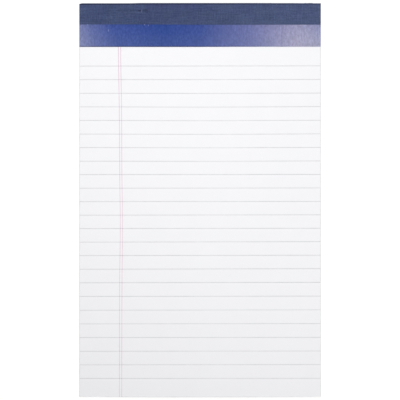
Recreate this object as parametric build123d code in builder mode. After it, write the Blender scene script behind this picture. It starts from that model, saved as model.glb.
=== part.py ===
"""A junior legal pad that lies on its back with its ruled side up.

Fifty perforated sheets lie on a chipboard back, under a printed header strip. Two wire staples
hold the head together, and a binding tape folds round it from the front to the back.

X runs across the pad, Y towards the bound head and Z up from the surface that the pad lies on.
The origin is the centre of the whole pad's footprint, on that surface. Sizes are in millimetres.
"""

import os

from build123d import *

# Sheets and back
pad_width = 127.0
sheet_length = 207.2
sheet_count = 50
sheet_thickness = 0.1
board_thickness = 0.76

# Perforation that the sheets tear along, hidden under the header strip's free edge
perforation_cover = 1.5
perforation_cut = 1.4
perforation_tie = 0.6
perforation_width = 0.2

# Header strip across the top sheet
header_length = 23.0
header_thickness = 0.13

# Binding tape, with its flaps measured from the head of the sheets
tape_thickness = 0.2
tape_front_length = 11.25
tape_back_length = 22.0
front_fold_radius = 0.6
back_fold_radius = 0.4

# Staples of flat wire, clinched against the back
staple_spacing = 67.8
staple_from_head = 4.0
crown_width = 12.0
wire_thickness = 0.45
wire_width = 0.7
wire_bend_radius = 0.5
clinch_gap = 3.5
staple_clearance = 0.05

# Printed ruling
rule_pitch = 7.144
rule_width = 0.3
first_rule_gap = 9.9
last_rule_room = 6.0
margin_from_edge = 21.1
margin_spacing = 1.2
margin_line_width = 0.3
ink_thickness = 0.02

# Heights of the layers above the surface that the pad lies on
board_bottom = tape_thickness
board_top = board_bottom + board_thickness
page_top = board_top + sheet_count * sheet_thickness
header_top = page_top + header_thickness

# Places along the pad, from its tail to its head
overall_length = sheet_length + tape_thickness
tail_y = -overall_length / 2
head_y = tail_y + sheet_length
header_edge_y = head_y - header_length
perforation_y = header_edge_y + perforation_cover
staple_y = head_y - staple_from_head
staple_places = [(-staple_spacing / 2, 0, 0), (staple_spacing / 2, 0, 0)]

# Every layer's section lies inside this one, which is rounded where the tape folds round it
with BuildSketch(Plane.YZ) as bound_section:
    with BuildLine():
        FilletPolyline(
            (tail_y, board_bottom),
            (head_y, board_bottom),
            (head_y, header_top),
            (tail_y, header_top),
            radius=[0, back_fold_radius, front_fold_radius, 0],
            close=True,
        )
    make_face()


def formed_wire(side_room):
    """A clinched staple at mid width. Room at its sides and tips makes it the space for one."""
    leg_x = (crown_width - wire_thickness) / 2
    tip_x = clinch_gap / 2 - side_room
    crown_z = header_top - wire_thickness / 2
    clinch_z = board_bottom + wire_thickness / 2
    with BuildPart() as wire:
        with BuildSketch(Plane.XZ.offset(-staple_y)):
            with BuildLine():
                FilletPolyline(
                    (-tip_x, clinch_z),
                    (-leg_x, clinch_z),
                    (-leg_x, crown_z),
                    (leg_x, crown_z),
                    (leg_x, clinch_z),
                    (tip_x, clinch_z),
                    radius=wire_bend_radius,
                )
            trace(line_width=wire_thickness)
        extrude(amount=wire_width / 2 + side_room, both=True)
    return wire.part


staple_wire = formed_wire(0)
staple_space = formed_wire(staple_clearance)

# The stiff back, pierced by the staples' legs, with their clinched ends pressed into it
with BuildPart() as backing_board:
    with BuildSketch(Plane.YZ):
        add(bound_section.sketch_local)
        with Locations((tail_y, board_bottom)):
            Rectangle(
                sheet_length,
                board_thickness,
                align=(Align.MIN, Align.MIN),
                mode=Mode.INTERSECT,
            )
    extrude(amount=pad_width / 2, both=True)
    with Locations(*staple_places):
        add(staple_space, mode=Mode.SUBTRACT)

# The dent that each crown presses into the header strip, and the strip's own wall round it
dent_length = crown_width
dent_width = wire_width + 2 * staple_clearance
dent_depth = wire_thickness
dent_places = [(x, staple_y, header_top) for x, _, _ in staple_places]
hang = (Align.CENTER, Align.CENTER, Align.MAX)

# All the sheets as one block, with the row of perforation cuts right through it
with BuildPart() as sheets:
    with BuildSketch(Plane.YZ):
        add(bound_section.sketch_local)
        with Locations((tail_y, board_top)):
            Rectangle(
                sheet_length,
                page_top - board_top,
                align=(Align.MIN, Align.MIN),
                mode=Mode.INTERSECT,
            )
    extrude(amount=pad_width / 2, both=True)
    perforation_pitch = perforation_cut + perforation_tie
    cut_count = int((pad_width - perforation_tie) // perforation_pitch)
    with BuildSketch(Plane.XY.offset(board_top)):
        with Locations((0, perforation_y)):
            with GridLocations(perforation_pitch, 0, cut_count, 1):
                Rectangle(perforation_cut, perforation_width)
    extrude(amount=page_top - board_top, mode=Mode.SUBTRACT)
    with Locations(*dent_places):
        Box(
            dent_length + 2 * header_thickness,
            dent_width + 2 * header_thickness,
            dent_depth + header_thickness,
            align=hang,
            mode=Mode.SUBTRACT,
        )
    with Locations(*staple_places):
        add(staple_space, mode=Mode.SUBTRACT)

# The printed strip, bound in at the head and free at its lower edge
with BuildPart() as header_strip:
    with BuildSketch(Plane.YZ):
        add(bound_section.sketch_local)
        with Locations((header_edge_y, page_top)):
            Rectangle(
                header_length,
                header_thickness,
                align=(Align.MIN, Align.MIN),
                mode=Mode.INTERSECT,
            )
    extrude(amount=pad_width / 2, both=True)
    with Locations(*dent_places):
        Box(
            dent_length + 2 * header_thickness,
            dent_width + 2 * header_thickness,
            dent_depth + header_thickness,
            align=hang,
        )
        Box(dent_length, dent_width, dent_depth, align=hang, mode=Mode.SUBTRACT)
    with Locations(*staple_places):
        add(staple_space, mode=Mode.SUBTRACT)

# The tape follows the bound section at half its own thickness outside it
with BuildPart() as binding_tape:
    half_tape = tape_thickness / 2
    with BuildSketch(Plane.YZ):
        with BuildLine():
            FilletPolyline(
                (head_y - tape_front_length, header_top + half_tape),
                (head_y + half_tape, header_top + half_tape),
                (head_y + half_tape, board_bottom - half_tape),
                (head_y - tape_back_length, board_bottom - half_tape),
                radius=[front_fold_radius + half_tape, back_fold_radius + half_tape],
            )
        trace(line_width=tape_thickness)
    extrude(amount=pad_width / 2, both=True)

with BuildPart() as staple_left:
    with Locations(staple_places[0]):
        add(staple_wire)

with BuildPart() as staple_right:
    with Locations(staple_places[1]):
        add(staple_wire)

# Ink on the top sheet, below the header strip: rules across it and a double margin line down it
writing_length = sheet_length - header_length
writing_centre_y = tail_y + writing_length / 2
rule_count = 1 + int((writing_length - first_rule_gap - last_rule_room) // rule_pitch)
rule_places = [
    (0, header_edge_y - first_rule_gap - rule_pitch * i) for i in range(rule_count)
]
margin_x = -pad_width / 2 + margin_from_edge
margin_places = [
    (margin_x, writing_centre_y),
    (margin_x + margin_spacing, writing_centre_y),
]

with BuildPart() as ruled_lines:
    with BuildSketch(Plane.XY.offset(page_top)):
        with Locations(*rule_places):
            Rectangle(pad_width, rule_width)
        with Locations(*margin_places):
            Rectangle(margin_line_width, writing_length, mode=Mode.SUBTRACT)
    extrude(amount=ink_thickness)

with BuildPart() as margin_lines:
    with BuildSketch(Plane.XY.offset(page_top)):
        with Locations(*margin_places):
            Rectangle(margin_line_width, writing_length)
    extrude(amount=ink_thickness)

nodes = {
    "backing_board": backing_board,
    "sheets": sheets,
    "header_strip": header_strip,
    "binding_tape": binding_tape,
    "staple_left": staple_left,
    "staple_right": staple_right,
    "ruled_lines": ruled_lines,
    "margin_lines": margin_lines,
}
os.makedirs("parts", exist_ok=True)
for name, node in nodes.items():
    node.part.label = name
    export_step(node.part, f"parts/{name}.step")
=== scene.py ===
"""A white junior legal pad on a pale floor, seen from straight above.

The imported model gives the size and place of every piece. This script adds what the solids can't
show: the trimmed edges of the sheets, the printed colours and ink, and the grain of each material.
Lengths are in millimetres, in the pad's own frame, and become metres as each mesh is made.
"""

import math
import random
from collections import namedtuple

import bmesh
import bpy
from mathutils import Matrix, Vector, noise


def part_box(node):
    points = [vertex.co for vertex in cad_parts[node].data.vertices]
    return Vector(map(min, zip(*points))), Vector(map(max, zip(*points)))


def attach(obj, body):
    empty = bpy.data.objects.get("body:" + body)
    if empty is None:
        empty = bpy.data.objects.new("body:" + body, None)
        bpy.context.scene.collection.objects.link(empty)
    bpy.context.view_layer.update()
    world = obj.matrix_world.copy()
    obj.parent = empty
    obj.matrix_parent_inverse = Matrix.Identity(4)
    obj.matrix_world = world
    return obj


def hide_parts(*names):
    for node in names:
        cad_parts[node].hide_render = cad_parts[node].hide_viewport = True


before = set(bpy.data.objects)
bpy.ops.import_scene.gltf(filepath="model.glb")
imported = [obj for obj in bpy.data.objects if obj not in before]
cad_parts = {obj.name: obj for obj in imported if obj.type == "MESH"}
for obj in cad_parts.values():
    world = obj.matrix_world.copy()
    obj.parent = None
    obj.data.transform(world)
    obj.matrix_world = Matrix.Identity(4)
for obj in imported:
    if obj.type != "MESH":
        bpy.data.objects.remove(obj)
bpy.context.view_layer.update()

MM = 0.001
random.seed(5)


def box_mm(node):
    """The lowest and highest corners of a CAD node, in millimetres."""
    low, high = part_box(node)
    return low / MM, high / MM


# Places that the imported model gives
sheets_low, sheets_high = box_mm("sheets")
header_low, header_high = box_mm("header_strip")
tape_low, tape_high = box_mm("binding_tape")
board_low, _ = box_mm("backing_board")
rules_low, rules_high = box_mm("ruled_lines")
margins_low, margins_high = box_mm("margin_lines")
staple_low, staple_high = box_mm("staple_left")

half_width = sheets_high.x
tail_y = sheets_low.y
head_y = sheets_high.y
board_top = sheets_low.z
page_top = sheets_high.z
header_top = header_high.z
header_edge_y = header_low.y
tape_thickness = tape_high.z - header_top
staple_y = (staple_low.y + staple_high.y) / 2
staple_x = -(staple_low.x + staple_high.x) / 2
crown_half = (staple_high.x - staple_low.x) / 2

# Sizes of the real pad that its boxes don't give
sheet_count = 50
tape_front_length = 11.25
front_fold_radius = 0.6
back_fold_radius = 0.4
wire_thickness = 0.45
wire_width = 0.7
wire_bend_radius = 0.5
staple_room = 0.05
wire_half_room = wire_width / 2 + staple_room
clinch_gap = 3.5
perforation_cover = 1.5
perforation_cut = 1.4
perforation_pitch = 2.0
perforation_width = 0.2
perforation_count = 63
rule_count = 24
rule_width = 0.3
margin_width = 0.3

# How the photograph is framed: its size in pixels, one pixel's size and where the pad's centre lies
photo_width_px = 400
pixel_size = 0.5259
pad_centre_px = (200.05, 200.137)


def from_photo(place_px):
    """The place on the pad of a pixel of the photograph."""
    return (
        (place_px[0] - pad_centre_px[0]) * pixel_size,
        (pad_centre_px[1] - place_px[1]) * pixel_size,
    )


# A stroke on the pad: the corners that span it as pixels of the photograph, how far it fades out beyond
# them in millimetres and, where it has a tone of its own, how much of that tone it lays down
Mark = namedtuple("Mark", "start_px end_px reach share tone", defaults=(1.0, None))

# A nick in the fold of the tape, in pixels of the photograph
Nick = namedtuple("Nick", "middle_x_px half_length_px")

# The height of its normal up to which a face is a wall, and from which it is turned up or down
wall_limit = 0.5
face_limit = 0.8


def steps(start, end, size):
    """Even steps from start to end, both included, none longer than size."""
    count = max(1, math.ceil(abs(end - start) / size))
    return [start + (end - start) * i / count for i in range(count + 1)]


def merged(*runs):
    """Runs of steps joined into one list, without the repeated ends."""
    joined = list(runs[0])
    for run in runs[1:]:
        joined += run[1:]
    return joined


def wander(*place):
    """Smooth noise from -1 to 1 at a place given in any unit."""
    return noise.noise(Vector((list(place) + [0.0, 0.0])[:3]))


def bell(distance, reach):
    """1 at no distance, falling smoothly to nothing beyond the reach."""
    return math.exp(-((distance / reach) ** 2))


def join(tree, socket, value):
    """Join an output to a socket, or write a plain value in it."""
    if isinstance(value, bpy.types.NodeSocket):
        tree.links.new(value, socket)
    elif socket.type == "VECTOR" and isinstance(value, float):
        socket.default_value = (value, value, value)
    else:
        socket.default_value = value


def add_node(tree, kind, inputs, **settings):
    """A shader node of a kind, with its inputs joined or written, and its other settings."""
    node = tree.nodes.new("ShaderNode" + kind)
    for name, value in settings.items():
        setattr(node, name, value)
    for key, value in inputs.items():
        join(tree, node.inputs[key], value)
    return node


class Look:
    """A material, with short calls that add its nodes and join them."""

    def __init__(self, name, roughness, specular=0.5, metallic=0.0):
        """A plain material of one roughness, to be given its colour."""
        self.material = bpy.data.materials.new(name)
        self.material.use_nodes = True
        self.tree = self.material.node_tree
        self.set("Roughness", roughness)
        self.set("Specular IOR Level", specular)
        self.set("Metallic", metallic)
        self.place = self.add("TexCoord", {}).outputs["Object"]

    def set(self, name, value):
        """Join an output to an input of the shader, or write a plain value in it."""
        join(self.tree, self.tree.nodes["Principled BSDF"].inputs[name], value)

    def add(self, kind, inputs, **settings):
        """A node of this material."""
        return add_node(self.tree, kind, inputs, **settings)

    def math(self, operation, a, b=0.0, c=0.0):
        """One step of arithmetic on outputs or plain values."""
        return self.add("Math", {0: a, 1: b, 2: c}, operation=operation).outputs[0]

    def times(self, a, b, plus=0.0):
        """The product of outputs or plain values, with something added to it."""
        return self.math("MULTIPLY_ADD", a, b, plus)

    def weighed(self, *parts):
        """The sum of several outputs, each given with its weight."""
        total = 0.0
        for value, weight in parts:
            total = self.times(value, weight, plus=total)
        return total

    def grain(self, size, detail=2.0, stretch=(1, 1, 1), distortion=0.0):
        """Noise from 0 to 1 whose features are about size millimetres, drawn out by stretch."""
        scale = tuple(1 / (size * MM * s) for s in stretch)
        placed = self.add("VectorMath", {0: self.place, 1: scale}, operation="MULTIPLY")
        inputs = {"Vector": placed.outputs[0], "Scale": 1.0, "Detail": detail, "Distortion": distortion}
        return self.add("TexNoise", inputs).outputs["Fac"]

    def band(self, value, start, end, **settings):
        """0 where the value is at or below start, 1 at or above end."""
        inputs = {"Value": value, "From Min": start, "From Max": end}
        return self.add("MapRange", inputs, clamp=True, **settings).outputs["Result"]

    def mix(self, share, a, b):
        """The colour a where the share is 0, and b where it is 1."""
        return self.add("Mix", {0: share, 6: a, 7: b}, data_type="RGBA").outputs[2]

    def tint(self, colour, mask, share, tone):
        """A colour that is taken part of the way to a tone where the mask is 1."""
        return self.mix(self.times(mask, share), colour, tone)

    def ramp(self, share, stops):
        """A run of colours, given as (place, colour) stops."""
        node = self.add("ValToRGB", {"Fac": share})
        elements = node.color_ramp.elements
        while len(elements) < len(stops):
            elements.new(1.0)
        for element, (place, colour) in zip(elements, stops):
            element.position = place
            element.color = colour
        return node.outputs["Color"]

    def scaled(self, colour, factor, lift=0.0):
        """A colour made darker or lighter by a factor about 1, then lifted evenly."""
        inputs = {0: colour, 1: factor, 2: lift}
        return self.add("VectorMath", inputs, operation="MULTIPLY_ADD").outputs[0]

    def grained(self, colour, value, depth, lift):
        """A colour that a noise of 0 to 1 makes darker and lighter, in proportion and evenly."""
        around = self.math("SUBTRACT", value, 0.5)
        factor = self.times(around, depth, plus=1.0)
        return self.scaled(colour, factor, self.times(around, lift))

    def stroke(self, start, end, reach):
        """1 in the rectangle that two points span, falling to 0 at the reach beyond it."""
        middle = [(a + b) / 2 for a, b in zip(start, end)]
        half = [abs(b - a) / 2 for a, b in zip(start, end)]
        beyond = []
        for axis in (0, 1):
            away = self.away("XY"[axis], middle[axis])
            outside = self.math("MAXIMUM", self.math("SUBTRACT", away, half[axis]), 0.0)
            beyond.append(self.math("POWER", outside, 2.0))
        distance = self.math("SQRT", self.math("ADD", *beyond))
        return self.band(distance, reach, 0.0, interpolation_type="SMOOTHSTEP")

    def coordinate(self, axis):
        """One coordinate of the surface, in millimetres."""
        parts = self.add("SeparateXYZ", {"Vector": self.place})
        return self.math("DIVIDE", parts.outputs[axis], MM)

    def away(self, axis, place):
        """How far the surface lies from a place along an axis, in millimetres."""
        return self.math("ABSOLUTE", self.math("SUBTRACT", self.coordinate(axis), place))

    def facing(self, axis):
        """How far the surface faces along an axis, from -1 to 1."""
        normal = self.add("TexCoord", {}).outputs["Normal"]
        return self.add("SeparateXYZ", {"Vector": normal}).outputs[axis]

    def turned(self, side):
        """1 on faces turned up, for side 1, or down, for side -1, and 0 on walls."""
        return self.band(self.facing("Z"), side * wall_limit, side * face_limit)

    def flat(self):
        """1 on faces turned up or down, and 0 on walls."""
        return self.band(self.math("ABSOLUTE", self.facing("Z")), wall_limit, face_limit)

    def bump(self, height, depth, strength=1.0):
        """Relief of a depth in millimetres from a height of 0 to 1."""
        inputs = {"Height": height, "Distance": depth * MM, "Strength": strength}
        self.set("Normal", self.add("Bump", inputs).outputs["Normal"])


def srgb(red, green, blue):
    """A colour written as on screen, from 0 to 255, in the linear values that nodes take."""

    def linear(level):
        """One level in linear light."""
        level /= 255
        return level / 12.92 if level <= 0.04045 else ((level + 0.055) / 1.055) ** 2.4

    return (linear(red), linear(green), linear(blue), 1.0)


# The painted grey shade round the face of the page, along its cut edges: how far in it is full, where it
# ends, and how much both wander
shaded_rim_full = 0.25
shaded_rim_end = 0.37
shaded_rim_wander = 0.16


def paper_look():
    """White writing paper: faint fibres on its face, painted grey shade round the edges of its face, and thin
    grey streaks along its cut edges.
    """
    look = Look("writing_paper", roughness=0.85, specular=0.2)
    fibres = look.grain(0.35, detail=3.0, stretch=(1, 2.2, 1))
    tone = look.weighed((fibres, 0.6), (look.grain(9.0), 0.4))
    face = look.mix(tone, srgb(246, 246, 249), srgb(253, 253, 255))

    # Painted shade: the face is darker in a thin rim along its cut edges at the tail and the sides
    side_gap = look.math("SUBTRACT", half_width, look.away("X", 0.0))
    edge_gap = look.math("MINIMUM", side_gap, look.math("SUBTRACT", look.coordinate("Y"), tail_y))
    uneven = look.times(look.grain(5.0, detail=3.0), shaded_rim_wander, plus=edge_gap)
    face = look.mix(look.band(uneven, shaded_rim_end, shaded_rim_full), face, look.scaled(face, 0.74))

    streaks = look.grain(0.11, detail=1.0, stretch=(60, 60, 1))
    nicks = look.grain(0.5, detail=3.0, stretch=(1, 1, 3))
    worn = look.weighed((streaks, 0.7), (nicks, 0.3))
    edge_tones = [(0.3, srgb(222, 222, 221)), (0.5, srgb(240, 240, 239)), (0.72, srgb(251, 251, 249))]
    look.set("Base Color", look.mix(look.flat(), look.ramp(worn, edge_tones), face))
    look.bump(fibres, 0.012)
    return look.material


# The field of colour across the header strip, from its left end to its right: deep blue in the middle, pale
# violet towards the ends
header_tones = [
    (0.0, srgb(121, 128, 171)),
    (0.06, srgb(90, 102, 157)),
    (0.15, srgb(57, 77, 145)),
    (0.35, srgb(40, 66, 138)),
    (0.50, srgb(54, 74, 142)),
    (0.70, srgb(103, 110, 161)),
    (0.90, srgb(152, 150, 184)),
    (1.0, srgb(137, 141, 179)),
]
bare_stock_tone = srgb(205, 210, 232)
# The tone of the painted shade along the header strip's free edge, and how far that shade reaches
painted_edge_shade_tone = srgb(52, 50, 50)
free_edge_reach = 0.9

# Small chips in the print that show the white stock
print_chips = [
    Mark(start_px=(87.3, 24.7), end_px=(87.7, 24.7), reach=0.4),
    Mark(start_px=(144.4, 24.7), end_px=(144.8, 24.7), reach=0.36),
    Mark(start_px=(148.5, 24.8), end_px=(148.5, 26), reach=0.17),
    Mark(start_px=(108.5, 29.6), end_px=(108.5, 31.1), reach=0.29),
    Mark(start_px=(300, 24.8), end_px=(306, 24.9), reach=0.4),
]


def header_look():
    """Coated stock printed deep blue in the middle and paling to violet towards its ends, with bare white
    edges and painted shade along its free edge.
    """
    look = Look("printed_stock", roughness=0.5, specular=0.2)
    across = look.band(look.coordinate("X"), header_low.x, header_high.x)
    down = look.band(look.coordinate("Y"), head_y - tape_front_length, header_edge_y)
    left_end = look.band(across, 0.35, 0.12)
    right_part = look.band(across, 0.6, 0.9)
    right_end = look.band(across, 0.76, 0.95)

    # The field of colour, paler downwards and slanting a little at its left end
    drift = look.math("SUBTRACT", look.grain(9.0), 0.5)
    slant = look.times(look.math("SUBTRACT", 0.5, down), 0.03)
    place = look.times(slant, left_end, plus=look.times(drift, 0.02, plus=across))
    field = look.tint(look.ramp(place, header_tones), down, 0.045, srgb(180, 200, 232))
    field = look.tint(field, look.times(down, right_end), 0.14, srgb(235, 225, 215))

    # Its dots, speckle and streaks, coarser towards both ends
    dots = look.grain(0.9, detail=3.0, stretch=(1, 1.8, 1))
    coarseness = look.times(left_end, 0.22, plus=look.times(right_part, 0.16, plus=0.5))
    grained = look.grained(field, dots, coarseness, 0.025)
    speckle = look.grain(0.22)
    grained = look.grained(grained, speckle, look.times(right_part, 0.3, plus=0.45), 0.0)
    streaks = look.grain(0.8, detail=1.0, stretch=(1, 9, 1))
    streaky = look.times(look.band(across, 0.4, 0.58), 0.32)
    grained = look.grained(grained, streaks, streaky, 0.0)

    # The chips, and the painted shade along the free edge, which is fainter to the right
    ragged = look.times(look.band(look.grain(0.35), 0.34, 0.56), 0.34)
    for chip in print_chips:
        stroke = look.stroke(from_photo(chip.start_px), from_photo(chip.end_px), chip.reach)
        grained = look.tint(grained, stroke, ragged, bare_stock_tone)
    cut = look.stroke((-half_width, header_edge_y), (half_width, header_edge_y), free_edge_reach)
    edge_shade_share = look.times(look.band(across, 0.95, 0.45), 0.64, plus=0.06)
    grained = look.tint(grained, cut, edge_shade_share, painted_edge_shade_tone)
    look.set("Base Color", look.mix(look.turned(1), srgb(214, 216, 222), grained))
    look.set("Roughness", look.times(dots, 0.12, plus=0.44))
    look.bump(speckle, 0.008)
    return look.material


# The painted shade along the tape's front fold, which darkens leftwards from one place, and the tones of
# painted shade and painted highlight
fold_line_y = head_y - 0.52
fold_reach = 0.5
fold_shade_x = 25.0
painted_shade_tone = srgb(16, 22, 52)
painted_highlight_tone = srgb(120, 134, 172)

# Small nicks along that fold, all on one line, drawn as painted shade
nick_y_px = 3.45
nick_reach = 0.4
nick_share = 0.65
fold_nicks = [
    Nick(middle_x_px=177.5, half_length_px=1.2),
    Nick(middle_x_px=217.9, half_length_px=0.4),
    Nick(middle_x_px=269.6, half_length_px=0.7),
    Nick(middle_x_px=305.5, half_length_px=0.2),
    Nick(middle_x_px=309.2, half_length_px=0.8),
    Nick(middle_x_px=311.6, half_length_px=0.2),
]

# Two lines of painted shade along the fold's crest, then two broad darker violet patches, and the painted
# shade and painted highlight of the ridge that the left staple makes
tape_marks = [
    Mark(start_px=(140, 3.5), end_px=(256, 3.5), reach=0.45, share=0.6, tone=painted_shade_tone),
    Mark(start_px=(143, 3.45), end_px=(292, 3.45), reach=0.4, share=0.45, tone=painted_shade_tone),
    Mark(start_px=(148, 6.2), end_px=(196, 6.4), reach=2.4, share=0.2, tone=srgb(52, 46, 104)),
    Mark(start_px=(150, 9), end_px=(178, 13), reach=4.5, share=0.1, tone=srgb(38, 38, 84)),
    Mark(start_px=(116, 10.5), end_px=(127, 10.5), reach=0.4, share=0.2, tone=painted_shade_tone),
    Mark(start_px=(130, 10.5), end_px=(137, 10.5), reach=0.5, share=0.4, tone=painted_shade_tone),
    Mark(start_px=(124, 12.4), end_px=(140, 12.6), reach=0.5, share=0.07, tone=painted_highlight_tone),
    Mark(start_px=(118, 6.5), end_px=(132, 7.5), reach=1.4, share=0.07, tone=painted_highlight_tone),
    Mark(start_px=(138.6, 10.6), end_px=(140.6, 10.8), reach=0.45, share=0.9, tone=painted_shade_tone),
    Mark(start_px=(141.6, 9.8), end_px=(141.6, 12.2), reach=0.38, share=0.3, tone=painted_highlight_tone),
    Mark(start_px=(143.6, 10.5), end_px=(147, 10.8), reach=1.1, share=0.45, tone=painted_shade_tone),
    Mark(start_px=(145.4, 9.5), end_px=(146.2, 9.6), reach=0.4, share=0.45, tone=painted_shade_tone),
    Mark(start_px=(146.6, 12.4), end_px=(147.4, 12.5), reach=0.4, share=0.4, tone=painted_shade_tone),
]


def nick_marks():
    """The nicks in the fold as marks of painted shade on the tape."""
    marks = []
    for middle_x, half_length in fold_nicks:
        start_px = (middle_x - half_length, nick_y_px)
        end_px = (middle_x + half_length, nick_y_px)
        marks.append(Mark(start_px, end_px, nick_reach, nick_share, painted_shade_tone))
    return marks


def tape_look():
    """Slate blue binding paper with a fine woven grain, with painted sheen towards its ends, painted shade
    along its fold and painted shade and highlight over the staples.
    """
    look = Look("binding_paper", roughness=0.62, specular=0.28)
    cloud = look.band(look.grain(7.0), 0.35, 0.65)
    base = look.mix(cloud, srgb(55, 67, 104), srgb(60, 73, 108))
    # Painted sheen: the tape is lighter towards its right end and, less, towards its left end
    right = look.band(look.coordinate("X"), -0.3 * half_width, half_width)
    left = look.band(look.coordinate("X"), -0.82 * half_width, -half_width)
    painted_sheen = look.mix(look.weighed((right, 0.07), (left, 0.035)), base, srgb(150, 160, 196))

    mottle = look.grain(0.9, detail=3.0)
    warp = look.grain(0.5, detail=1.0, stretch=(1, 11, 11))
    weft = look.grain(0.5, detail=1.0, stretch=(12, 1, 1))
    weave = look.math("ADD", warp, weft)
    grained = look.grained(painted_sheen, look.weighed((mottle, 0.4), (weave, 0.28)), 1.65, 0.04)
    long_threads = look.grain(0.14, detail=1.0, stretch=(1, 3, 3))
    threads = look.math("ADD", long_threads, look.grain(0.17, detail=1.0))
    grained = look.grained(grained, look.times(threads, 0.5), 0.7, 0.0)

    # Painted shade along the front fold, darker towards the left end
    fold = look.stroke((-half_width, fold_line_y), (half_width, fold_line_y), fold_reach)
    fold_shade_left = look.band(look.coordinate("X"), fold_shade_x, -half_width)
    fold_shade_share = look.times(fold_shade_left, 0.6, plus=0.45)
    with_painted_light = look.tint(grained, fold, fold_shade_share, srgb(22, 28, 58))
    # The marks and nicks: painted shade and painted highlight, and two darker violet patches, on faces turned
    # up
    top = look.turned(1)
    for mark in tape_marks + nick_marks():
        stroke = look.stroke(from_photo(mark.start_px), from_photo(mark.end_px), mark.reach)
        with_painted_light = look.tint(with_painted_light, look.times(stroke, top), mark.share, mark.tone)
    under = look.turned(-1)
    # Painted shade and painted highlight on the back, over the wires' clinched ends
    for start_x, end_x in clinched_ends():
        for reach, share, tone in ((0.75, 0.3, painted_shade_tone), (0.4, 0.22, painted_highlight_tone)):
            stroke = look.stroke((start_x, staple_y), (end_x, staple_y), reach)
            with_painted_light = look.tint(with_painted_light, look.times(stroke, under), share, tone)
    look.set("Base Color", with_painted_light)
    look.set("Roughness", look.times(mottle, 0.2, plus=0.52))
    look.bump(look.weighed((threads, 0.3), (weave, 0.4)), 0.05)
    return look.material


def clinched_ends():
    """The stretches across the back under which the wires' clinched ends lie."""
    return [
        (centre + side * clinch_gap / 2, centre + side * crown_half)
        for centre in (-staple_x, staple_x)
        for side in (-1, 1)
    ]


def board_look():
    """Grey-brown chipboard of mixed waste fibres, flecked light and dark."""
    look = Look("chipboard", roughness=0.92, specular=0.15)
    pulp = look.grain(1.4, detail=4.0, stretch=(1, 2.5, 1))
    tone = look.weighed((pulp, 0.6), (look.grain(18.0), 0.4))
    pulp_tones = [(0.3, srgb(141, 130, 114)), (0.5, srgb(158, 147, 130)), (0.7, srgb(173, 163, 147))]
    dark = look.band(look.grain(0.7, stretch=(1, 3, 1), distortion=1.5), 0.66, 0.72)
    pale = look.band(look.grain(0.9, stretch=(3, 1, 1), distortion=1.5), 0.68, 0.75)
    flecked = look.tint(look.ramp(tone, pulp_tones), dark, 0.6, srgb(92, 84, 78))
    flecked = look.tint(flecked, pale, 0.55, srgb(206, 200, 188))
    plies = look.grain(0.09, detail=1.0, stretch=(30, 30, 1))
    edge = look.mix(plies, srgb(118, 107, 93), srgb(166, 155, 138))
    look.set("Base Color", look.mix(look.flat(), edge, flecked))
    look.bump(look.grain(0.4, detail=3.0), 0.03)
    return look.material


def wire_look():
    """Galvanised flat wire, dull and finely drawn."""
    look = Look("galvanised_wire", roughness=0.38, metallic=1.0)
    drawn = look.grain(0.08, stretch=(30, 1, 30))
    spangle = look.grain(0.6)
    look.set("Base Color", look.mix(spangle, srgb(168, 170, 172), srgb(206, 207, 208)))
    look.set("Roughness", look.times(drawn, 0.25, plus=0.28))
    look.bump(drawn, 0.01)
    return look.material


# Densities at which the ink shows its thinner and its fuller tone
thin_density = 0.32
full_density = 0.68

# Where the rules are thinner: in a stretch on both sides of one place across, and towards the tail
thin_stretch_x = 10.5
thin_stretch_half = 8.0
thin_stretch_end = 18.0
tail_thin_y = -60.0
tail_full_y = -48.0

# Where the margin lines begin to lie denser, and where they are densest
margin_dense_from_y = 0.0
margin_densest_y = 80.0


def ink_density(look):
    """How dense printing ink lies on uncoated paper, from 0 to 1: it comes and goes along each line."""
    along = look.grain(4.0)
    from_line_to_line = look.grain(11.0, detail=1.0, stretch=(9, 1, 1))
    fibres = look.grain(0.35)
    return look.weighed((along, 0.4), (from_line_to_line, 0.3), (fibres, 0.3))


def rule_look():
    """Grey ink that is thinner towards the tail, and in a stretch beside the middle of the page."""
    look = Look("rule_ink", roughness=0.8, specular=0.2)
    in_stretch = look.band(look.away("X", thin_stretch_x), thin_stretch_end, thin_stretch_half)
    above_tail = look.band(look.coordinate("Y"), tail_thin_y, tail_full_y)
    thinner = look.times(in_stretch, -0.1, plus=ink_density(look))
    density = look.math("ADD", thinner, look.times(above_tail, 0.07, plus=-0.025))
    full = look.band(density, thin_density, full_density)
    look.set("Base Color", look.mix(full, srgb(229, 228, 231), srgb(206, 205, 209)))
    return look.material


def margin_look(name, thin_tone, full_tone):
    """Pale red ink that lies a little denser near the head of the page."""
    look = Look(name, roughness=0.8, specular=0.2)
    ink = look.mix(look.band(ink_density(look), thin_density, full_density), thin_tone, full_tone)
    near_head = look.band(look.coordinate("Y"), margin_dense_from_y, margin_densest_y)
    look.set("Base Color", look.tint(ink, near_head, 0.45, srgb(220, 184, 204)))
    return look.material


def add_object(name, bm, materials):
    """Turn a mesh built in millimetres into an object of the scene."""
    bmesh.ops.scale(bm, vec=(MM, MM, MM), verts=bm.verts)
    mesh = bpy.data.meshes.new(name)
    bm.to_mesh(mesh)
    bm.free()
    for material in materials:
        mesh.materials.append(material)
    added = bpy.data.objects.new(name, mesh)
    bpy.context.scene.collection.objects.link(added)
    return added


def make_piece(name, bm, materials, node, crease=None):
    """Turn a closed mesh into a piece that stands for a CAD node.

    Faces that meet at less than the crease, in degrees, shade as one smooth surface.
    """
    bmesh.ops.recalc_face_normals(bm, faces=bm.faces)
    piece = add_object(name, bm, materials)
    if crease:
        piece.data.shade_smooth()
        piece.data.set_sharp_from_angle(angle=math.radians(crease))
    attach(piece, "root")
    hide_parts(node)


def loop_of(bm, points, z):
    """A closed loop of new vertices at one height."""
    return [bm.verts.new((x, y, z)) for x, y in points]


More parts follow.
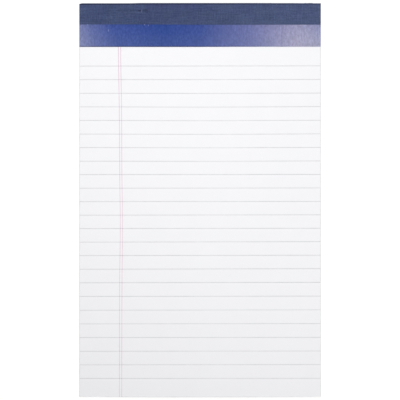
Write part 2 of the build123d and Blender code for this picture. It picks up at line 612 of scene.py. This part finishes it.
def wall(bm, *loops):
    """Quads between each closed loop of vertices and the next."""
    for lower, upper in zip(loops, loops[1:]):
        for i in range(len(lower)):
            j = (i + 1) % len(lower)
            bm.faces.new((lower[i], lower[j], upper[j], upper[i]))


def skin(bm, *rows):
    """Quads between each open row of vertices and the next."""
    for row, following in zip(rows, rows[1:]):
        for i in range(len(row) - 1):
            bm.faces.new((row[i], row[i + 1], following[i + 1], following[i]))


def fill(bm, loops):
    """A flat face inside the first loop, with the others as holes in it."""
    edges = []
    for loop in loops:
        for i, vertex in enumerate(loop):
            other = loop[(i + 1) % len(loop)]
            edges.append(bm.edges.get((vertex, other)) or bm.edges.new((vertex, other)))
    bmesh.ops.triangle_fill(bm, use_beauty=True, use_dissolve=False, edges=edges)


def rectangle(x, y, half_length, half_breadth):
    """The corners of a rectangle round a point."""
    low_x, high_x = x - half_length, x + half_length
    low_y, high_y = y - half_breadth, y + half_breadth
    return [(low_x, low_y), (high_x, low_y), (high_x, high_y), (low_x, high_y)]


def folded_head(z):
    """How far towards the head the layers reach at a height, inside the two folds of the tape."""
    if z < board_low.z + back_fold_radius:
        radius = back_fold_radius
        beyond = board_low.z + radius - z
    else:
        radius = front_fold_radius
        beyond = max(0.0, z - (header_top - radius))
    return head_y - radius + math.sqrt(radius**2 - beyond**2)


def rise(value, start, end):
    """0 before start and 1 after end, rising smoothly between them."""
    share = min(1.0, max(0.0, (value - start) / (end - start)))
    return share * share * (3 - 2 * share)


# The steps in which the head lies back towards its left end (side -1) or its right (side 1): how deep
# each is, and the distances from the middle between which it comes in. The last is the blunted corner.
blunted_length = 1.6
SetBack = namedtuple("SetBack", "side depth start end")
head_set_backs = [
    SetBack(side=-1, depth=0.14, start=31, end=37),
    SetBack(side=1, depth=0.045, start=30, end=40),
    SetBack(side=1, depth=0.09, start=48, end=58),
    SetBack(side=-1, depth=0.38, start=half_width - blunted_length, end=half_width + 0.2),
]
head_step = 4.0
corner_step = 0.45


def head_set_back(x):
    """How far the head lies back: more towards its ends than between the staples."""
    return sum(part.depth * rise(part.side * x, part.start, part.end) for part in head_set_backs)


def head_stations(right, left):
    """Places along the head from its right end to its left, close together at the left corner."""
    corner = blunted_length - half_width
    return merged(steps(right, corner, head_step), steps(corner, left, corner_step))


# How much the cut edges wander, over what length, and how far apart in the noise the layers and the
# sides lie, then the step between an outline's points and how far short of the head the sides' end
trim_wander = 0.02
trim_wave = 17
layer_stride = 0.61
side_stride = 9.7
outline_step = 6.0
side_end_gap = 4.0

# How much further the tail reaches at its middle than at its corners, and how sharply it turns there
tail_bow = 0.2
tail_bow_power = 2.6


def trimmed_ring(bm, z, inset, layer):
    """A loop round a layer at a height. Each cut edge wanders a little along its length."""

    def edge(place, side):
        """How far in an edge lies: at the tail (side 1), the right (2) or the left (3)."""
        return inset + trim_wander * (1 + wander(place / trim_wave, layer * layer_stride, side * side_stride))

    def tail_edge(x):
        """How far up the pad the tail's edge lies."""
        return tail_y + tail_bow * abs(x / half_width) ** tail_bow_power + edge(x, 1)

    across = steps(-half_width, half_width, outline_step)[1:-1]
    along = steps(tail_y + tail_bow, head_y - side_end_gap, outline_step)[1:]
    corner_x = half_width - edge(tail_y, 2)
    corner_y = tail_edge(half_width)
    reach = folded_head(z)
    right = half_width - edge(head_y, 2)
    left = -half_width + edge(head_y, 3)
    outline = (
        [(-corner_x, corner_y)]
        + [(x, tail_edge(x)) for x in across]
        + [(corner_x, corner_y)]
        + [(half_width - edge(y, 2), y) for y in along]
        + [(x, reach - head_set_back(x)) for x in head_stations(right, left)]
        + [(-half_width + edge(y, 3), y) for y in reversed(along)]
    )
    return loop_of(bm, outline, z)


def make_board(material):
    """The stiff back, trimmed with the sheets, with plies along its cut edges and room for the wires."""
    bm = bmesh.new()
    ply = 0.08
    ply_groove = 0.018
    arris = 0.04
    heights = steps(board_low.z, board_top, ply)
    rings = []
    for i, z in enumerate(heights):
        inset = arris if z in (heights[0], heights[-1]) else ply_groove * (i % 2)
        rings.append(trimmed_ring(bm, z, inset, 0))
    wall(bm, *rings)

    low_y, high_y = staple_y - wire_half_room, staple_y + wire_half_room
    groove_top = board_low.z + wire_thickness
    bend = wire_bend_radius - wire_thickness / 2
    tip = clinch_gap / 2 - staple_room
    far = crown_half + staple_room
    near = crown_half - wire_thickness - staple_room
    grooves, holes = [], []
    for centre in (-staple_x, staple_x):
        for side in (-1, 1):
            tip_x, bend_x, near_x, far_x = (centre + side * reach for reach in (tip, near - bend, near, far))
            lower_side = [(tip_x, low_y), (bend_x, low_y), (far_x, low_y)]
            upper_side = [(far_x, high_y), (bend_x, high_y), (tip_x, high_y)]
            grooves.append(loop_of(bm, lower_side + upper_side, board_low.z))
            ceiling = loop_of(bm, lower_side + upper_side, groove_top)
            wall(bm, grooves[-1], ceiling)
            bm.faces.new((ceiling[0], ceiling[1], ceiling[4], ceiling[5]))
            leg = ceiling[1:5]
            for z in (groove_top + bend, board_top):
                upper = loop_of(bm, [(near_x, low_y), (far_x, low_y), (far_x, high_y), (near_x, high_y)], z)
                wall(bm, leg, upper)
                leg = upper
            holes.append(leg)
    fill(bm, [rings[0]] + grooves)
    fill(bm, [rings[-1]] + holes)
    make_piece("stiff_back", bm, [material], "backing_board")


def make_sheets(material):
    """All the sheets as one block, whose three open sides show each sheet's cut edge."""
    bm = bmesh.new()
    thickness = (page_top - board_top) / sheet_count
    trim_room = 0.07
    crevice = 0.04
    edge_round = 0.02
    drawn_in = 0.12
    drawn_sheets = 8

    # Each sheet strays by a part of the room, and the top ones are drawn in more and more
    stray = []
    for i in range(sheet_count):
        drawn = max(0.0, 1 - (sheet_count - 1 - i) / drawn_sheets)
        stray.append(trim_room * random.random() * (1 - drawn) + drawn_in * drawn**2)

    rings = [trimmed_ring(bm, board_top, stray[0], 0)]
    for i, inset in enumerate(stray):
        low = board_top + i * thickness
        if i:
            groove = max(inset, stray[i - 1]) + crevice
            rings.append(trimmed_ring(bm, low, groove, i))
        rings.append(trimmed_ring(bm, low + edge_round, inset, i))
        high = low + thickness
        rings.append(trimmed_ring(bm, high - edge_round, inset, i))
    rings.append(trimmed_ring(bm, page_top, stray[-1] + edge_round, sheet_count))
    wall(bm, *rings)

    top_holes, bottom_holes = [], []
    perforation_y = header_edge_y + perforation_cover
    for i in range(perforation_count):
        x = (i - (perforation_count - 1) / 2) * perforation_pitch
        cut = rectangle(x, perforation_y, perforation_cut / 2, perforation_width / 2)
        top_holes.append(loop_of(bm, cut, page_top))
        bottom_holes.append(loop_of(bm, cut, board_top))
        wall(bm, bottom_holes[-1], top_holes[-1])

    strip = header_top - page_top
    dent_floor = header_top - wire_thickness - strip
    leg_half_length = (wire_thickness + staple_room) / 2
    for centre in (-staple_x, staple_x):
        dent = rectangle(centre, staple_y, crown_half + strip, wire_half_room + strip)
        top_holes.append(loop_of(bm, dent, page_top))
        floor = loop_of(bm, dent, dent_floor)
        wall(bm, floor, top_holes[-1])
        legs = []
        for side in (-1, 1):
            leg_x = centre + side * (crown_half - leg_half_length)
            leg = rectangle(leg_x, staple_y, leg_half_length, wire_half_room)
            legs.append(loop_of(bm, leg, dent_floor))
            bottom_holes.append(loop_of(bm, leg, board_top))
            wall(bm, bottom_holes[-1], legs[-1])
        fill(bm, [floor] + legs)
    fill(bm, [rings[-1]] + top_holes)
    fill(bm, [rings[0]] + bottom_holes)
    make_piece("page_block", bm, [material], "sheets")


# How far an edge is trimmed back at its left end and its right, and the places between which it changes
Trim = namedtuple("Trim", "left right start_x end_x")
header_trim = Trim(left=0.045, right=0.165, start_x=-8, end_x=34)
tape_trim = Trim(left=0.15, right=0.02, start_x=-28, end_x=2)
header_wander = 0.012

# How much the free edge lifts, over what length from it, and how the lift fades
header_lift = 0.045
header_lift_length = 7.0
header_lift_power = 2.2
header_column_step = 3.0
header_row_share = 0.1


def trimmed_back(trim, x):
    """How far an edge is trimmed back at x."""
    return trim.left + (trim.right - trim.left) * rise(x, trim.start_x, trim.end_x)


def make_header(material):
    """The header strip: bound in at the head, dented for the staples and lifting at its free edge."""
    bm = bmesh.new()
    thickness = header_top - page_top
    bound_y = header_edge_y + header_lift_length
    columns = steps(-half_width, half_width, header_column_step)
    lows, highs = [], []
    for share in steps(0, 1, header_row_share):
        low, high = [], []
        for x in columns:
            edge_y = header_edge_y + trimmed_back(header_trim, x) + header_wander * wander(x / 9, 4.2)
            y = edge_y + (bound_y - edge_y) * share
            z = header_lift * (0.8 + 0.2 * wander(x / 30, 8.8)) * (1 - share) ** header_lift_power
            low.append(bm.verts.new((x, y, page_top + z)))
            high.append(bm.verts.new((x, y, header_top + z)))
        lows.append(low)
        highs.append(high)
    skin(bm, *lows)
    skin(bm, *highs)
    skin(bm, lows[0], highs[0])
    for i in (0, -1):
        skin(bm, [low[i] for low in lows], [high[i] for high in highs])

    ends = []
    stations = head_stations(half_width, -half_width)
    for z in steps(header_top, page_top, thickness / 4):
        ends.append(loop_of(bm, [(x, folded_head(z) - head_set_back(x)) for x in stations], z))
    skin(bm, *ends)
    low, high = lows[-1], highs[-1]
    bm.faces.new([low[-1], high[-1]] + [end[0] for end in ends])
    bm.faces.new([low[0], high[0]] + [end[-1] for end in ends])
    top_loops = [high + ends[0]]
    bottom_loops = [low + ends[-1]]
    dent_floor = header_top - wire_thickness
    leg_inset = 0.01
    leg_half_length = (wire_thickness - leg_inset) / 2
    for centre in (-staple_x, staple_x):
        inner = rectangle(centre, staple_y, crown_half, wire_half_room)
        outer = rectangle(centre, staple_y, crown_half + thickness, wire_half_room + thickness)
        top_loops.append(loop_of(bm, inner, header_top))
        bottom_loops.append(loop_of(bm, outer, page_top))
        floor = [loop_of(bm, inner, dent_floor)]
        underside = [loop_of(bm, outer, dent_floor - thickness)]
        wall(bm, floor[0], top_loops[-1])
        wall(bm, underside[0], bottom_loops[-1])
        for side in (-1, 1):
            leg_x = centre + side * (crown_half - leg_inset - leg_half_length)
            leg = rectangle(leg_x, staple_y, leg_half_length, wire_half_room - leg_inset)
            floor.append(loop_of(bm, leg, dent_floor))
            underside.append(loop_of(bm, leg, dent_floor - thickness))
            wall(bm, underside[-1], floor[-1])
        fill(bm, floor)
        fill(bm, underside)
    fill(bm, top_loops)
    fill(bm, bottom_loops)
    make_piece("header_sheet", bm, [material], "header_strip")


# How far on either side of the wires the tape's mesh is fine, and the steps of its mesh, those in the
# folds in degrees
wire_region = 1.6
wire_step = 0.2
flap_step = 0.8
next_to_fold_step = 0.5
spine_step = 0.6
back_end_step = 1.2
fold_step = 11.25
column_step = 0.5


def fold_arc(centre_y, centre_z, inner_radius, start, end):
    """The outside of a fold from one turn to another, in degrees, without its first point."""
    radius = inner_radius + tape_thickness
    points = []
    for turn in steps(start, end, fold_step)[1:]:
        normal_y = math.cos(math.radians(turn))
        normal_z = math.sin(math.radians(turn))
        points.append((centre_y + radius * normal_y, centre_z + radius * normal_z, normal_y, normal_z))
    return points


def tape_section():
    """The tape's outer face from its front edge to its back edge, as (y, z, normal y, normal z)."""
    front_y, front_z = head_y - front_fold_radius, header_top - front_fold_radius
    back_y, back_z = head_y - back_fold_radius, board_low.z + back_fold_radius
    wires_low, wires_high = staple_y - wire_region, staple_y + wire_region
    front = merged(
        steps(head_y - tape_front_length, wires_low, flap_step),
        steps(wires_low, wires_high, wire_step),
        steps(wires_high, front_y, next_to_fold_step),
    )
    spine = steps(front_z, back_z, spine_step)
    back = merged(
        steps(back_y, wires_high, flap_step),
        steps(wires_high, wires_low, wire_step),
        steps(wires_low, tape_low.y, back_end_step),
    )
    return (
        [(y, header_top + tape_thickness, 0.0, 1.0) for y in front]
        + fold_arc(front_y, front_z, front_fold_radius, 90, 0)
        + [(head_y + tape_thickness, z, 1.0, 0.0) for z in spine[1:]]
        + fold_arc(back_y, back_z, back_fold_radius, 0, -90)
        + [(y, board_low.z - tape_thickness, 0.0, -1.0) for y in back[1:]]
    )


# How deep the tape is pressed round each kind of wire, how far from the wire most, and how widely
left_crown_press = 0.07
right_crown_press = 0.025
clinch_press = 0.08
press_distance = 0.35
press_reach = 0.3

# How uneven the tape's face and spine are, how rounded its cut edges, how far each nick spreads
tape_unevenness = 0.006
spine_unevenness = 0.004
tape_bevel = 0.04
nick_spread_px = 0.8

# How far the flaps' edges are ragged, in long waves and in short ones
long_ragged = 0.04
short_ragged = 0.02


def pressed(x, y, marks):
    """How deep the tape is pressed round the wires under it, each given as (x, half length, depth)."""
    depth = 0.0
    for centre, half_length, most in marks:
        beyond_x = max(abs(x - centre) - half_length, 0.0)
        beyond_y = max(abs(y - staple_y) - wire_width / 2, 0.0)
        beyond = math.hypot(beyond_x, beyond_y)
        depth = max(depth, most * bell(beyond - press_distance, press_reach))
    return depth


def spine_set_back(x):
    """How far the outside of the tape's spine lies back. It stands out at each nick."""
    level = head_set_back(x)
    for nick in fold_nicks:
        nick_x, _ = from_photo((nick.middle_x_px, nick_y_px))
        level *= 1 - bell(x - nick_x, (nick.half_length_px + nick_spread_px) * pixel_size)
    return level + spine_unevenness * (1 + wander(x / 4, 5.5))


def make_tape(material):
    """The binding tape as one folded strip, pressed a little round the staples under it."""
    bm = bmesh.new()
    section = tape_section()
    inner_x = half_width - tape_bevel
    columns = [-half_width] + steps(-inner_x, inner_x, column_step) + [half_width]
    crown_marks = [(-staple_x, crown_half, left_crown_press), (staple_x, crown_half, right_crown_press)]
    clinch_marks = [
        ((start + end) / 2, abs(end - start) / 2, clinch_press) for start, end in clinched_ends()
    ]
    last = len(section) - 1
    outer, inner = [], []
    for i, x in enumerate(columns):
        outer_row, inner_row = [], []
        for j, (y, z, normal_y, normal_z) in enumerate(section):
            sunk = tape_unevenness * (1 + wander(x / 6, (y + 2 * z) / 6))
            if normal_z == 1.0:
                sunk += pressed(x, y, crown_marks)
            if normal_z == -1.0:
                sunk += pressed(x, y, clinch_marks)
            sunk += spine_set_back(x) * max(normal_y, 0.0)
            if i in (0, len(columns) - 1) or j in (0, last):
                sunk += tape_bevel
            ragged = 0.0
            if j in (0, last):
                ragged = long_ragged * wander(x / 7, 3.1) + short_ragged * wander(x / 1.3, 7.7)
            if j == 0:
                ragged += trimmed_back(tape_trim, x)
            outer_row.append(bm.verts.new((x, y + ragged - sunk * normal_y, z - sunk * normal_z)))
            deep = tape_thickness + head_set_back(x) * max(normal_y, 0.0)
            inner_row.append(bm.verts.new((x, y + ragged - deep * normal_y, z - deep * normal_z)))
        outer.append(outer_row)
        inner.append(inner_row)
    skin(bm, *outer)
    skin(bm, *inner)
    for i in (0, -1):
        skin(bm, outer[i], inner[i])
        skin(bm, [row[i] for row in outer], [row[i] for row in inner])
    make_piece("folded_tape", bm, [material], "binding_tape", crease=55.0)


# A swell in the course of a printed line: its height in millimetres, and its place and reach as shares
# of the page's length
Swell = namedtuple("Swell", "height place reach")

# The rules lean across the page, crest below its middle, more to the right, and sag above it, most at
# one place across and over one breadth
rule_lean = 0.06
rule_drop = 0.04
rule_crest = Swell(height=0.47, place=0.64, reach=0.2)
crest_slant = 0.15
rule_sag = Swell(height=-0.27, place=0.2, reach=0.12)
sag_across = 0.06
sag_breadth = 0.72

# The margin lines' wide bow, further down on the right one, the narrow bow and the turn at the head
wide_bow = Swell(height=0.16, place=0.5, reach=0.25)
wide_bow_shift = 0.08
narrow_bow = Swell(height=0.32, place=0.49, reach=0.1)
head_turn = Swell(height=-0.53, place=1.0, reach=0.14)

# Steps along the printed lines, and the gaps left at the ends of the rules and at the margins' tail
line_step = 3.0
rule_end_gap = 0.17
margin_end_gap = 0.15


def swelling(swell, place):
    """How high a swell stands at a place."""
    return swell.height * bell(place - swell.place, swell.reach)


def rule_y(index, x):
    """The height on the page of one rule at x. The rules lean, rise and sag by tenths of a millimetre."""
    first = rules_high.y - rule_width / 2
    last = rules_low.y + rule_width / 2
    down = index / (rule_count - 1)
    across = x / half_width
    lean = rule_lean * across - rule_drop
    crest = swelling(rule_crest, down) * (1 - crest_slant + crest_slant * across)
    sag = swelling(rule_sag, down) * bell(across - sag_across, sag_breadth)
    return first + (last - first) * down + lean + crest + sag


def margin_x(line, y):
    """The place across the page of a margin line at y. Both lines bow by tenths of a millimetre."""
    centre = (margins_low.x if line == 0 else margins_high.x) + (0.5 - line) * margin_width
    up = (y - tail_y) / (header_edge_y - tail_y)
    bow = swelling(wide_bow, up + wide_bow_shift * line) + swelling(narrow_bow, up)
    return centre + bow + swelling(head_turn, up)


def ribbon(bm, spine, across, width, kinds=None):
    """A thin closed strip of ink along (x, y) points on the page, with each stretch's kind of ink."""
    low = page_top
    high = rules_high.z
    half = (across[0] * width / 2, across[1] * width / 2)
    rings = []
    for x, y in spine:
        corners = [
            (x - half[0], y - half[1], low),
            (x - half[0], y - half[1], high),
            (x + half[0], y + half[1], high),
            (x + half[0], y + half[1], low),
        ]
        rings.append([bm.verts.new(corner) for corner in corners])
    for k, (ring, following) in enumerate(zip(rings, rings[1:])):
        for i in range(4):
            j = (i + 1) % 4
            face = bm.faces.new((ring[i], ring[j], following[j], following[i]))
            face.material_index = kinds[k] if kinds else 0
    bm.faces.new(rings[0])
    bm.faces.new(rings[-1])


def make_rules(material):
    """The rules as strips of ink, each broken where the margin lines cross it."""
    bm = bmesh.new()
    page_half = half_width - rule_end_gap
    for index in range(rule_count):
        middle_y = rule_y(index, margin_x(0, rule_y(index, margins_low.x)))
        edges = [margin_x(line, middle_y) + side * margin_width / 2 for line in (0, 1) for side in (-1, 1)]
        spans = [(-page_half, edges[0]), (edges[1], edges[2]), (edges[3], page_half)]
        for start, end in spans:
            spine = [(x, rule_y(index, x)) for x in steps(start, end, line_step)]
            ribbon(bm, spine, (0, 1), rule_width)
    make_piece("rule_strips", bm, [material], "ruled_lines")


def make_margins(material, crossing_material):
    """The double margin line. Every second stretch of it is a crossing with a rule, and darker."""
    bm = bmesh.new()
    for line in (0, 1):
        stations = [tail_y + margin_end_gap, header_edge_y]
        for index in range(rule_count):
            y = rule_y(index, margin_x(line, rule_y(index, margins_low.x)))
            stations += [y - rule_width / 2, y + rule_width / 2]
        stations.sort()
        spine, kinds = [], []
        for k, (start, end) in enumerate(zip(stations, stations[1:])):
            part = steps(start, end, line_step)
            spine += part[:-1]
            kinds += [k % 2] * (len(part) - 1)
        spine.append(stations[-1])
        ribbon(bm, [(margin_x(line, y), y) for y in spine], (1, 0), margin_width, kinds)
    make_piece("margin_strips", bm, [material, crossing_material], "margin_lines")


def dress(node, material):
    """Give a CAD node that keeps its shape a better material."""
    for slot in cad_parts[node].material_slots:
        slot.material = material


def seen_directly(tree):
    """1 for rays that see the surroundings themselves or in a reflection, else 0."""
    path = add_node(tree, "LightPath", {})
    share = path.outputs["Is Camera Ray"]
    for name in ("Is Glossy Ray", "Is Transmission Ray"):
        larger = add_node(tree, "Math", {0: share, 1: path.outputs[name]}, operation="MAXIMUM")
        share = larger.outputs[0]
    return share


def make_floor():
    """A pale floor that reads as white and keeps the pad's soft shadow."""
    material = bpy.data.materials.new("pale_floor")
    material.use_nodes = True
    tree = material.node_tree
    tree.nodes.clear()
    matt = add_node(tree, "BsdfDiffuse", {"Color": srgb(246, 246, 247)})
    glow = add_node(tree, "Emission", {"Strength": floor_glow})
    share = add_node(tree, "Math", {0: seen_directly(tree), 1: floor_glow_share}, operation="MULTIPLY")
    parts = {0: share.outputs[0], 1: matt.outputs[0], 2: glow.outputs[0]}
    add_node(tree, "OutputMaterial", {"Surface": add_node(tree, "MixShader", parts).outputs[0]})
    bm = bmesh.new()
    bm.faces.new(loop_of(bm, rectangle(0, 0, floor_reach, floor_reach), -floor_gap))
    floor = add_object("floor", bm, [material])


def make_world():
    """A white surround that lights the pad gently from every side, more from low down than from above."""
    world = bpy.data.worlds.new("surround")
    bpy.context.scene.world = world
    world.use_nodes = True
    tree = world.node_tree
    background = tree.nodes["Background"]
    background.inputs["Color"].default_value = (1.0, 1.0, 1.0, 1.0)
    direction = add_node(tree, "TexCoord", {}).outputs["Generated"]
    height = add_node(tree, "SeparateXYZ", {"Vector": direction}).outputs["Z"]
    fall = {"Value": height, "From Max": zenith_from, "To Min": horizon_light, "To Max": zenith_light}
    falling = add_node(tree, "MapRange", fall, interpolation_type="SMOOTHSTEP").outputs["Result"]
    strength = add_node(tree, "MapRange", {"Value": seen_directly(tree), "To Min": falling, "To Max": 1.0})
    join(tree, background.inputs["Strength"], strength.outputs["Result"])


def add_lamp(name, place, target, size, power, glossy):
    """A square soft lamp that the camera doesn't see."""
    lamp = bpy.data.lights.new(name, "AREA")
    lamp.shape = "SQUARE"
    lamp.size = size * MM
    lamp.energy = power
    holder = bpy.data.objects.new(name, lamp)
    holder.location = Vector(place) * MM
    aim = Vector(target) - Vector(place)
    holder.rotation_mode = "QUATERNION"
    holder.rotation_quaternion = aim.to_track_quat("-Z", "Y")
    holder.visible_camera = False
    holder.visible_glossy = glossy
    bpy.context.scene.collection.objects.link(holder)


def add_camera():
    """A long lens straight above the pad, framed as the photograph is."""
    centre_x, centre_y = from_photo((photo_width_px / 2, photo_width_px / 2))
    camera = bpy.data.cameras.new("camera")
    camera.sensor_width = 36
    view_width = photo_width_px * pixel_size
    camera.lens = camera.sensor_width * (camera_height - page_top) / view_width
    camera.clip_start = 0.1
    camera.clip_end = 20
    holder = bpy.data.objects.new("camera", camera)
    holder.location = (centre_x * MM, centre_y * MM, camera_height * MM)
    bpy.context.scene.collection.objects.link(holder)
    bpy.context.scene.camera = holder


# Levels of light, at which white paper under the lamps renders as it is written. Between the horizon
# and a height of zenith_from the surround's light falls from the one level to the other.
horizon_light = 1.1
zenith_light = 0.18
zenith_from = 0.7
key_power = 1.27
fill_power = 0.3
floor_glow = 1.1
floor_glow_share = 0.85

# Where the lamps, the camera and the floor stand
key_place = (-28, 130, 350)
key_target = (-28, 130, 0)
key_size = 500
fill_place = (265, -233, 250)
fill_target = (0, 0, 0)
fill_size = 300
camera_height = 3000
floor_reach = 6000
floor_gap = 0.01

paper = paper_look()
margin_ink = margin_look("margin_ink", srgb(242, 224, 234), srgb(232, 198, 215))
crossing_ink = margin_look("crossing_ink", srgb(210, 190, 204), srgb(192, 168, 186))

make_sheets(paper)
make_header(header_look())
make_tape(tape_look())
make_rules(rule_look())
make_margins(margin_ink, crossing_ink)
make_board(board_look())
wire = wire_look()
dress("staple_left", wire)
dress("staple_right", wire)

make_floor()
make_world()
add_lamp("key", key_place, key_target, key_size, key_power, glossy=False)
add_lamp("fill", fill_place, fill_target, fill_size, fill_power, glossy=True)
add_camera()
bpy.context.scene.view_settings.view_transform = "Standard"
